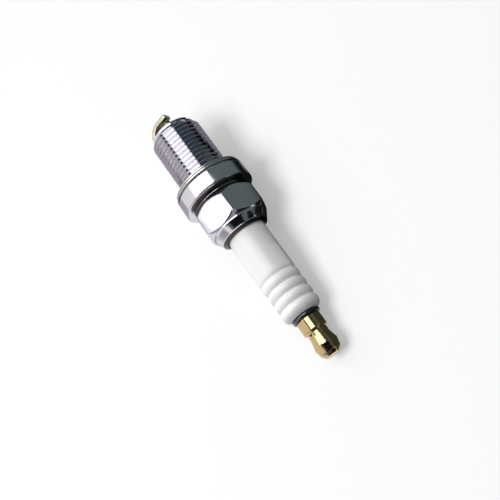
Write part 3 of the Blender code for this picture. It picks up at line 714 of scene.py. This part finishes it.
def groove_outline():
    """Rounded ribs that meet in narrow grooves; each rib rises from its two grooves to a flat crest."""
    points = []
    last = INSULATOR_END_X - LAST_GROOVE_FROM_END
    shares = (-0.5, -0.36, -0.2)
    for groove in range(GROOVE_COUNT):
        x = last - (GROOVE_COUNT - 1 - groove) * GROOVE_PITCH
        depth = FIRST_GROOVE_DEPTH if groove == 0 else GROOVE_DEPTH
        for share in shares:
            points.append((x + share * GROOVE_PITCH, BARREL_RADIUS - depth * (1 + 2 * share) ** 2))
        points.append((x, BARREL_RADIUS - depth, GROOVE_FILLET))
        for share in reversed(shares):
            points.append((x - share * GROOVE_PITCH, BARREL_RADIUS - depth * (1 + 2 * share) ** 2))
    return points


def make_insulator(glazed, bare):
    """The white insulator, ribbed outside and stepped inside the shell, with its firing nose left bare."""
    bm = bmesh.new()
    outline = [
        (NOSE_TIP_X, ELECTRODE_BORE, 0.1 * MM),
        (NOSE_TIP_X, NOSE_TIP_RADIUS, NOSE_FILLET),
        (SEAT_X + PACKING_LIFT - SEAT_RISE * CONE_START, NOSE_ROOT_RADIUS, 0.3 * MM),
        (SEAT_X + PACKING_LIFT + SEAT_RISE * CONE_END, BODY_RADIUS, 0.3 * MM),
        (CAVITY_X + 0.25 * MM, BODY_RADIUS),
        (SHOULDER_X, SHOULDER_RADIUS, 0.2 * MM),
        (SHOULDER_END_X, SHOULDER_RADIUS, 0.2 * MM),
        (SHOULDER_END_X + SHOULDER_TAPER, BARREL_RADIUS, 0.5 * MM),
        *groove_outline(),
        (INSULATOR_END_X - 1.0 * MM, BARREL_RADIUS, TOP_FILLET),
        (INSULATOR_END_X, TOP_FACE_RADIUS, 0.25 * MM),
        (INSULATOR_END_X, STUD_BORE, 0.1 * MM),
        (ELECTRODE_HEAD_X - 0.1 * MM, STUD_BORE),
        (ELECTRODE_HEAD_X - 0.75 * MM, ELECTRODE_BORE),
    ]
    add_wire(bm, outline, closed=True)
    spin_wire(bm, LARGE_STEPS)
    closed_up(bm)
    for face in bm.faces:
        face.material_index = 1 if face.calc_center_median().x < SEAT_X else 0
    as_piece("ribbed_insulator", bm, "insulator", "plug", [glazed, bare])


def make_centre_electrode(finish):
    """The centre electrode's nickel sheath, headed inside the insulator and bored for its copper core."""
    bm = bmesh.new()
    head_cone = ELECTRODE_HEAD_RADIUS - ELECTRODE_RADIUS
    outline = [
        (ELECTRODE_TIP_X, 0),
        (ELECTRODE_TIP_X, ELECTRODE_RADIUS, 0.12 * MM),
        (ELECTRODE_HEAD_X - head_cone, ELECTRODE_RADIUS),
        (ELECTRODE_HEAD_X, ELECTRODE_HEAD_RADIUS),
        (ELECTRODE_HEAD_END_X, ELECTRODE_HEAD_RADIUS),
        (ELECTRODE_HEAD_END_X, ELECTRODE_BOSS_RADIUS),
        (ELECTRODE_BOSS_END_X, ELECTRODE_BOSS_RADIUS),
        (ELECTRODE_BOSS_END_X, CORE_BORE),
        (ELECTRODE_TIP_X + CORE_FROM_TIP, CORE_BORE),
        (ELECTRODE_TIP_X + CORE_FROM_TIP, 0),
    ]
    add_wire(bm, outline)
    spin_wire(bm, SMALL_STEPS)
    closed_up(bm)
    as_piece("electrode_sheath", bm, "centre_electrode", "plug", [finish])


def make_ground_strap(drawn, annealed):
    """The strap, cut from drawn bar, bent over the centre electrode and welded on the rim by its foot."""
    bm = bmesh.new()
    under_x = STRAP_TOP_X + STRAP_THICKNESS
    inner_y = STRAP_OUTER_Y + STRAP_THICKNESS
    corners = [
        (STRAP_FOOT_X, STRAP_OUTER_Y, 0),
        (STRAP_TOP_X, STRAP_OUTER_Y, STRAP_BEND + STRAP_THICKNESS),
        (STRAP_TOP_X, STRAP_TIP_Y, 0),
        (under_x, STRAP_TIP_Y, 0),
        (under_x, inner_y, STRAP_BEND),
        (STRAP_FOOT_X, inner_y, 0),
    ]
    verts = [bm.verts.new((x, y, -STRAP_WIDTH / 2)) for x, y, _ in corners]
    bm.faces.new(verts)
    for vert, (_, _, bend) in zip(verts, corners):
        if bend:
            bmesh.ops.bevel(
                bm,
                geom=[vert],
                offset=bend,
                offset_type="OFFSET",
                segments=16,
                profile=0.5,
                affect="VERTICES",
                clamp_overlap=True,
                material=-1,
            )
    swept = bmesh.ops.extrude_face_region(bm, geom=bm.faces[:])["geom"]
    moved = [item for item in swept if isinstance(item, bmesh.types.BMVert)]
    bmesh.ops.translate(bm, verts=moved, vec=(0, 0, STRAP_WIDTH))
    bmesh.ops.recalc_face_normals(bm, faces=bm.faces)
    bmesh.ops.bevel(
        bm,
        geom=[edge for edge in bm.edges if edge.calc_face_angle() > math.radians(60)],
        offset=STRAP_EDGE,
        offset_type="OFFSET",
        segments=4,
        profile=0.5,
        affect="EDGES",
        clamp_overlap=True,
        material=-1,
    )
    closed_up(bm)
    for face in bm.faces:
        face.material_index = 1 if abs(face.normal.z) < 0.5 else 0
    as_piece("ground_strap", bm, "ground_electrode", "plug", [drawn, annealed])


def stud_thread_limits(x):
    """Lowest and highest radius of the stud's thread: a plain neck at the collar and a chamfer at the tip."""
    neck_end = NUT_X - COLLAR_GAP + STUD_THREAD_FROM_COLLAR
    tip = max(STUD_THREAD_ROOT - TINY, STUD_THREAD_CREST - STUD_TIP_CHAMFER - x + STUD_TIP_X)
    run_in = STUD_THREAD_ROOT + x - neck_end
    highest = STUD_THREAD_ROOT if x < neck_end else min(STUD_THREAD_CREST, tip, run_in)
    return STUD_THREAD_ROOT - TINY, highest


def make_stud(finish):
    """The steel stud: a foot fused in the glass seal, a collar on the insulator and a thread for the nut."""
    bm = bmesh.new()
    collar_end = NUT_X - COLLAR_GAP
    collar_x = collar_end - COLLAR_LENGTH
    low_x = collar_end + STUD_THREAD_FROM_COLLAR / 2
    high_x = STUD_TIP_X - 0.1 * MM
    add_thread(
        bm,
        STUD_THREAD_PITCH,
        STUD_THREAD_CREST,
        STUD_THREAD_ROOT,
        low_x,
        high_x,
        SMALL_STEPS,
        stud_thread_limits,
    )
    for vert in bm.verts:
        if abs(vert.co.x - high_x) < TINY:
            vert.co.yz = vert.co.yz.normalized() * (STUD_THREAD_ROOT - 0.1 * MM)
        if abs(vert.co.x - low_x) < TINY:
            vert.co.yz = vert.co.yz.normalized() * STUD_THREAD_ROOT
    foot = [
        (STUD_FOOT_X, 0),
        (STUD_FOOT_X, STUD_FOOT_RADIUS, 0.2 * MM),
        (STUD_FOOT_END_X, STUD_FOOT_RADIUS),
        (STUD_FOOT_END_X, STUD_SHANK_RADIUS),
        (collar_x, STUD_SHANK_RADIUS),
        (collar_x, COLLAR_RADIUS, COLLAR_FILLET),
        (collar_end, COLLAR_RADIUS, COLLAR_FILLET),
        (collar_end, STUD_THREAD_ROOT, 0.1 * MM),
        (low_x, STUD_THREAD_ROOT),
    ]
    add_wire(bm, foot)
    spin_wire(bm, SMALL_STEPS)
    tip = [
        (high_x, STUD_THREAD_ROOT - 0.1 * MM),
        (STUD_TIP_X, STUD_THREAD_ROOT - 0.25 * MM),
        (STUD_TIP_X, 0),
    ]
    add_wire(bm, tip)
    spin_wire(bm, SMALL_STEPS)
    closed_up(bm)
    as_piece("threaded_stud", bm, "terminal_stud", "plug", [finish])


def punch_stakes(nut, x):
    """Presses the round stakes that lock the nut into its neck."""
    for stake in range(STAKE_COUNT):
        bm = bmesh.new()
        bmesh.ops.create_cone(
            bm,
            cap_ends=True,
            segments=STAKE_STEPS,
            radius1=STAKE_RADIUS / 3,
            radius2=STAKE_RADIUS * STAKE_FLARE,
            depth=STAKE_DEPTH * PUNCH_LENGTH,
            matrix=Matrix.Translation((x, 0, NUT_NECK_RADIUS - STAKE_DEPTH * PUNCH_SINK)),
        )
        bmesh.ops.rotate(
            bm,
            verts=bm.verts,
            cent=(0, 0, 0),
            matrix=Matrix.Rotation(-(STAKE_FIRST_ANGLE + math.tau * stake / STAKE_COUNT), 3, "X"),
        )
        bmesh.ops.recalc_face_normals(bm, faces=bm.faces)
        mesh = bpy.data.meshes.new("stake_punch")
        bm.to_mesh(mesh)
        bm.free()
        punch = bpy.data.objects.new("stake_punch", mesh)
        bpy.context.scene.collection.objects.link(punch)
        press = nut.modifiers.new("stake", "BOOLEAN")
        press.operation = "DIFFERENCE"
        press.solver = "EXACT"
        press.object = punch
        pressed = nut.evaluated_get(bpy.context.evaluated_depsgraph_get())
        nut_mesh = bpy.data.meshes.new_from_object(pressed)
        nut.modifiers.clear()
        nut.data = nut_mesh
        bpy.data.objects.remove(punch)
    nut.data.shade_smooth()
    nut.data.set_sharp_from_angle(angle=SMOOTH_ANGLE)


def make_nut(finish):
    """The brass snap terminal: base, staked neck, bulb and rounded nose, with a blind bore for the stud."""
    bm = bmesh.new()
    neck_x = NUT_X + NUT_BASE_LENGTH + NUT_STEP
    bulb_x = NUT_END_X - NUT_BULB_FROM_END
    flare_x = (neck_x + NUT_NECK_LENGTH + bulb_x) / 2
    outline = [
        (NUT_X, NUT_BORE, 0.1 * MM),
        (NUT_X, NUT_BASE_RADIUS, NUT_EDGE),
        (NUT_X + NUT_BASE_LENGTH, NUT_BASE_RADIUS, NUT_EDGE),
        (neck_x, NUT_NECK_RADIUS, 0.15 * MM),
        (neck_x + NUT_NECK_LENGTH, NUT_NECK_RADIUS, 0.5 * MM),
        (flare_x, (NUT_NECK_RADIUS + NUT_BULB_RADIUS) / 2),
        (bulb_x - NUT_EDGE / 2, NUT_BULB_RADIUS, 1.0 * MM),
        (NUT_END_X - NUT_NOSE_FROM_END, NUT_NOSE_RADIUS, NUT_NOSE_FROM_END),
        (NUT_END_X, NUT_TIP_RADIUS, 0.15 * MM),
        (NUT_END_X, 0),
    ]
    bore = [
        (NUT_X + NUT_BORE_DEPTH + NUT_BORE / 2, 0),
        (NUT_X + NUT_BORE_DEPTH, NUT_BORE),
    ]
    add_wire(bm, bore + outline)
    spin_wire(bm, SMALL_STEPS)
    closed_up(bm)
    nut = as_piece("snap_terminal_nut", bm, "terminal_nut", "terminal_nut", [finish])
    punch_stakes(nut, neck_x + NUT_NECK_LENGTH / 2)


def finish_inner_pieces():
    """Finishes of the frame's own solids that stay: packing, seals, resistor and copper core."""
    soft_steel = inner_finish("soft_steel_wire", "#8a8a8c", "#a9a9ab", 1.0 * MM, 0.4, 1)
    talc = inner_finish("talc_pressed", "#d6d3cb", "#e8e5dd", 0.5 * MM, 0.9, 0)
    seal = inner_finish("copper_glass_fused", "#7a4f3c", "#a0705a", 0.6 * MM, 0.55, 0)
    carbon = inner_finish("carbon_glass_fused", "#3a3a3d", "#55555a", 0.6 * MM, 0.6, 0)
    copper = inner_finish("copper_drawn", "#b5694a", "#d08a68", 1.0 * MM, 0.3, 1)
    finishes = {
        "inner_packing_ring": soft_steel,
        "lower_wire_ring": soft_steel,
        "upper_wire_ring": soft_steel,
        "talc_filling": talc,
        "lower_glass_seal": seal,
        "upper_glass_seal": seal,
        "resistor": carbon,
        "copper_core": copper,
    }
    for node, finish in finishes.items():
        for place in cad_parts[node].material_slots:
            place.material = finish


def table_place():
    """The table's place: its top touches the flange's edge and the insulator's last land."""
    rear = Vector((FLANGE_LENGTH - FLANGE_FILLET, 0, -FLANGE_RADIUS))
    front = Vector((INSULATOR_END_X - 1.5 * MM, 0, -BARREL_RADIUS))
    slope = math.atan2(front.z - rear.z, front.x - rear.x)
    return Matrix.Translation(rear) @ Matrix.Rotation(-slope, 4, "Y")


def stage_object(name, bm, place, material):
    """The bmesh as a thing of the studio, which isn't part of the plug."""
    mesh = bpy.data.meshes.new(name)
    bm.to_mesh(mesh)
    bm.free()
    mesh.materials.append(material)
    thing = bpy.data.objects.new(name, mesh)
    thing.matrix_world = place
    bpy.context.scene.collection.objects.link(thing)
    return thing


def matt_paper():
    """White table paper: it shows white to the camera and in reflections, and throws little light back up."""
    made, tree, shader = new_finish("paper_matt_white")
    path = add(tree, "LightPath").outputs
    seen = add(tree, "Math", {"operation": "ADD"}, _0=path["Is Camera Ray"], _1=path["Is Glossy Ray"])
    seen = add(tree, "Math", {"operation": "ADD"}, _0=seen.outputs[0], _1=path["Is Transmission Ray"])
    tone = add(tree, "Mix", RGBA, Factor=seen.outputs[0], _6=colour("#595959"), _7=colour("#7c7c7c"))
    glow = add(tree, "Math", {"operation": "MULTIPLY"}, _0=seen.outputs[0], _1=0.4)
    tree.links.new(tone.outputs[2], shader.inputs["Base Color"])
    tree.links.new(glow.outputs[0], shader.inputs["Emission Strength"])
    shader.inputs["Emission Color"].default_value = colour("#ffffff")
    shader.inputs["Roughness"].default_value = 1
    shader.inputs["Specular IOR Level"].default_value = 0
    return made


def lay_table():
    """The white table that the plug lies on."""
    bm = bmesh.new()
    bmesh.ops.create_circle(bm, cap_ends=True, segments=96, radius=4)
    return stage_object("table", bm, table_place(), matt_paper())


def add_panel(name, lean, turn, distance, size, size_y, energy):
    """An area lamp aimed at the plug: lean tips it along +X and turn swings it about the axis, in degrees."""
    panel = bpy.data.lights.new(name, "AREA")
    panel.shape = "RECTANGLE"
    panel.size = size
    panel.size_y = size_y
    panel.energy = energy
    lamp = bpy.data.objects.new(name, panel)
    swing = Matrix.Rotation(-math.radians(turn), 4, "X")
    tip = Matrix.Rotation(math.radians(lean), 4, "Y")
    lamp.matrix_world = swing @ tip @ Matrix.Translation((0, 0, distance))
    bpy.context.scene.collection.objects.link(lamp)
    return lamp


def card_glow(name, code, foot):
    """Glowing finish of the studio's cards: one dim colour that each card gives off itself, painted down to a
    share of itself near the table as shade at its foot.
    """
    made, tree, shader = new_finish(name)
    height = add(tree, "SeparateXYZ", Vector=add(tree, "TexCoord").outputs["Object"]).outputs["Z"]
    # Painted shade: the glow falls to the foot's share near the table
    glow = add(tree, "MapRange", SMOOTH, _0=height, _1=6 * MM, _2=9.5 * MM, _3=foot)
    tree.links.new(glow.outputs[0], shader.inputs["Emission Strength"])
    shader.inputs["Emission Color"].default_value = colour(code)
    shader.inputs["Base Color"].default_value = colour("#000000")
    shader.inputs["Roughness"].default_value = 1
    shader.inputs["Specular IOR Level"].default_value = 0
    return made


def stand_card(name, place, glow_finish, *sheets):
    """A card of flat sheets, each of four corners in millimetres, which shows in reflections alone."""
    bm = bmesh.new()
    for corners in sheets:
        bm.faces.new([bm.verts.new(Vector(corner) * MM) for corner in corners])
    card = stage_object(name, bm, place, glow_finish)
    card.visible_camera = False
    card.visible_diffuse = False
    card.visible_shadow = False


def stand_cards():
    """Glowing cards that only metal and glaze mirror, painting reflections: dark ones at the plug's right and
    end, others above it.
    """
    table = table_place()
    green = card_glow("card_glow_green", "#636e6d", 0.06)
    navy = card_glow("card_glow_navy", "#455463", 0.06)
    olive = card_glow("card_glow_olive", "#636e6d", 0.4)
    white = card_glow("card_glow_white", "#ffffff", 1)
    black = card_glow("card_glow_black", "#16181b", 1)
    stand_card("card_thread", table, navy, [(-90, 20, 0), (-13, 20, 0), (-13, 56, 36), (-90, 56, 36)])
    hexagon_foot = [(-5, 3, 0.1), (30, 3, 0.1), (30, 10, 0.1), (-5, 12, 0.1)]
    hexagon_sheet = [(-13, 12, 0), (17, 11, 0), (17, 33, 56), (-13, 34, 56)]
    stand_card("card_hexagon", table, green, hexagon_sheet, hexagon_foot)
    nut_foot = [(30, 3, 0.1), (54, 3.5, 0.1), (58, 8, 0.1), (30, 10, 0.1)]
    stand_card("card_nut", table, olive, [(30, 10, 0), (58, 8, 0), (58, 44, 36), (30, 46, 36)], nut_foot)
    stand_card("card_end", table, green, [(56, -5, 0), (60, 10, 0), (66, 13, 14), (62, -6, 14)])
    stand_card("card_crimp", table, black, [(28, 7, 0), (28, 44, 0), (28, 44, 16), (28, 7, 16)])
    level = Matrix()
    lilac = card_glow("card_glow_lilac", "#bcb5c2", 1)
    dusk = card_glow("card_glow_dusk", "#8c8894", 1)
    thread_top = [(-42, -21, 40), (-20, -21, 40), (-20, -12, 45), (-42, -12, 45)]
    stand_card("card_thread_top", level, green, thread_top)
    thread_left = [(-24, -22, -14), (14, -22, -14), (14, -22, 9), (-24, -22, 9)]
    stand_card("card_thread_left", level, lilac, thread_left)
    stand_card("card_thread_foot", table, dusk, [(-30, 2, 0.1), (-3, 2, 0.1), (-3, 20, 0.1), (-30, 20, 0.1)])
    stand_card("card_strap", level, white, [(-60, -30, 34), (-43, -30, 34), (-43, -8, 46), (-60, -8, 46)])
    nut_top = [(26, -10.5, 41), (60, -10.5, 41), (60, -1.5, 43), (26, -1.5, 43)]
    stand_card("card_nut_top", level, green, nut_top)
    nut_left = [(32, -24, 36), (47, -24, 36), (47, -10.5, 41), (32, -10.5, 41)]
    stand_card("card_nut_left", level, white, nut_left)


def light_studio(table):
    """A strip box above the plug, a softer key from its left, a pale wall on that side and a dark room."""
    add_panel("strip_box", lean=-22, turn=4, distance=0.6, size=0.38, size_y=0.72, energy=2.8)
    key = add_panel("key", lean=-55, turn=-35, distance=0.7, size=0.4, size_y=0.4, energy=1.75)
    key.visible_glossy = False
    # A lamp for the table alone: it lifts the table's white and draws the shadow, with no light on the plug
    table_lamp = add_panel("table_lamp", lean=0, turn=-18, distance=0.7, size=0.35, size_y=0.35, energy=10.0)
    table_lamp.visible_glossy = False
    table_only = bpy.data.collections.new("table_only")
    table_only.objects.link(table)
    table_lamp.light_linking.receiver_collection = table_only
    stand_cards()
    world = bpy.data.worlds.new("studio")
    bpy.context.scene.world = world
    world.use_nodes = True
    tree = world.node_tree
    axes = add(tree, "SeparateXYZ", Vector=add(tree, "TexCoord").outputs["Generated"])
    side = add(tree, "MapRange", SMOOTH, _0=axes.outputs["Y"], _1=-0.28, _2=-0.4)
    ahead = add(tree, "Math", {"operation": "MAXIMUM"}, _0=axes.outputs["X"], _1=0.0)
    slope = {"operation": "MULTIPLY_ADD"}
    height = add(tree, "Math", slope, _0=ahead.outputs[0], _1=-0.15, _2=axes.outputs["Z"])
    low = add(tree, "MapRange", SMOOTH, _0=height.outputs[0], _1=0.32, _2=0.08)
    pale = add(tree, "Math", {"operation": "MAXIMUM"}, _0=side.outputs[0], _1=low.outputs[0])
    end = add(tree, "MapRange", SMOOTH, _0=axes.outputs["X"], _1=-0.4, _2=0.2)
    room = add(tree, "Mix", RGBA, Factor=end.outputs[0], _6=colour("#455463"), _7=colour("#0c1114"))
    far = add(tree, "MapRange", SMOOTH, _0=axes.outputs["X"], _1=0.1, _2=0.5)
    wall = add(tree, "Mix", RGBA, Factor=far.outputs[0], _6=colour("#ffffff"), _7=colour("#aea9b6"))
    tone = add(tree, "Mix", RGBA, Factor=pale.outputs[0], _6=room.outputs[2], _7=wall.outputs[2])
    tree.links.new(tone.outputs[2], tree.nodes["Background"].inputs["Color"])


def place_camera():
    """A camera at the photograph's angle and scale; along and across are the plug's own directions."""
    back = Vector(
        (
            math.sin(CAMERA_TILT),
            math.cos(CAMERA_TILT) * math.sin(CAMERA_TURN),
            math.cos(CAMERA_TILT) * math.cos(CAMERA_TURN),
        )
    )
    along = (Vector((1, 0, 0)) - back * back.x).normalized()
    across = back.cross(along)
    right = along * math.cos(CAMERA_ROLL) + across * math.sin(CAMERA_ROLL)
    up = across * math.cos(CAMERA_ROLL) - along * math.sin(CAMERA_ROLL)
    aim = Vector((CAMERA_AIM_X, 0, 0)) + across * (CAMERA_AIM_ACROSS / PIXELS_PER_MM * MM)
    lens = bpy.data.cameras.new("camera")
    lens.sensor_width = SENSOR
    lens.lens = PIXELS_PER_MM / MM * CAMERA_DISTANCE * SENSOR / PICTURE
    lens.clip_start = 0.01
    camera = bpy.data.objects.new("camera", lens)
    facing = Matrix((right, up, back)).transposed().to_4x4()
    camera.matrix_world = Matrix.Translation(aim + back * CAMERA_DISTANCE) @ facing
    bpy.context.scene.collection.objects.link(camera)
    bpy.context.scene.camera = camera


def main():
    """Sets the studio, makes the visible pieces and finishes the inner ones."""
    bpy.context.scene.view_settings.view_transform = "Standard"
    place_camera()
    light_studio(lay_table())
    annealed = annealed_nickel_alloy()
    make_shell(turned_nickel_plate(), rolled_nickel_plate(), drawn_nickel_plate(), heat_tint_and_shade_steel())
    make_gasket(folded_steel())
    make_insulator(glazed_alumina(), bare_alumina())
    make_centre_electrode(annealed)
    make_ground_strap(drawn_nickel_alloy(), annealed)
    make_stud(blackened_steel())
    make_nut(turned_brass())
    finish_inner_pieces()


main()
